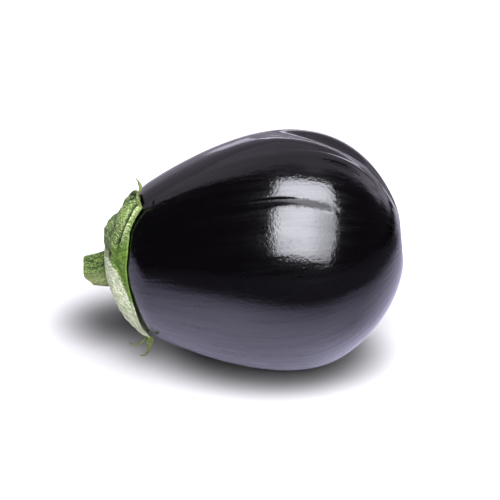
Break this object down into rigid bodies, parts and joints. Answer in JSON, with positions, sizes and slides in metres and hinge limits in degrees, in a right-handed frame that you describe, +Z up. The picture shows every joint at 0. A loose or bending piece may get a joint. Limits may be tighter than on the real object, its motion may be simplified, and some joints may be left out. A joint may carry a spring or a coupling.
{
  "type": "eggplant",
  "caption": "Large globe eggplant lying on its side on a small flat spot: glossy dark fruit furrowed towards the blossom end, green calyx with curled tips, short cut stem.",
  "frame": {"origin": "centre of the small flat spot on the belly that the fruit rests on", "axes": "+Z up; +X from the stem towards the blossom end, with the fruit's long axis raised 6.5 degrees at the blossom end; -Y is the smooth side without deep furrows"},
  "size_m": [0.1287, 0.0964, 0.0947],
  "materials": {
    "skin": "waxy, near-black purple eggplant skin",
    "calyx_green": "downy, fibrous green leaf tissue",
    "stem_green": "downy, ribbed green stalk"
  },
  "bodies": {
    "root": {"fruit": "skin", "calyx": "calyx_green", "stem": "stem_green"}
  },
  "joints": []
}
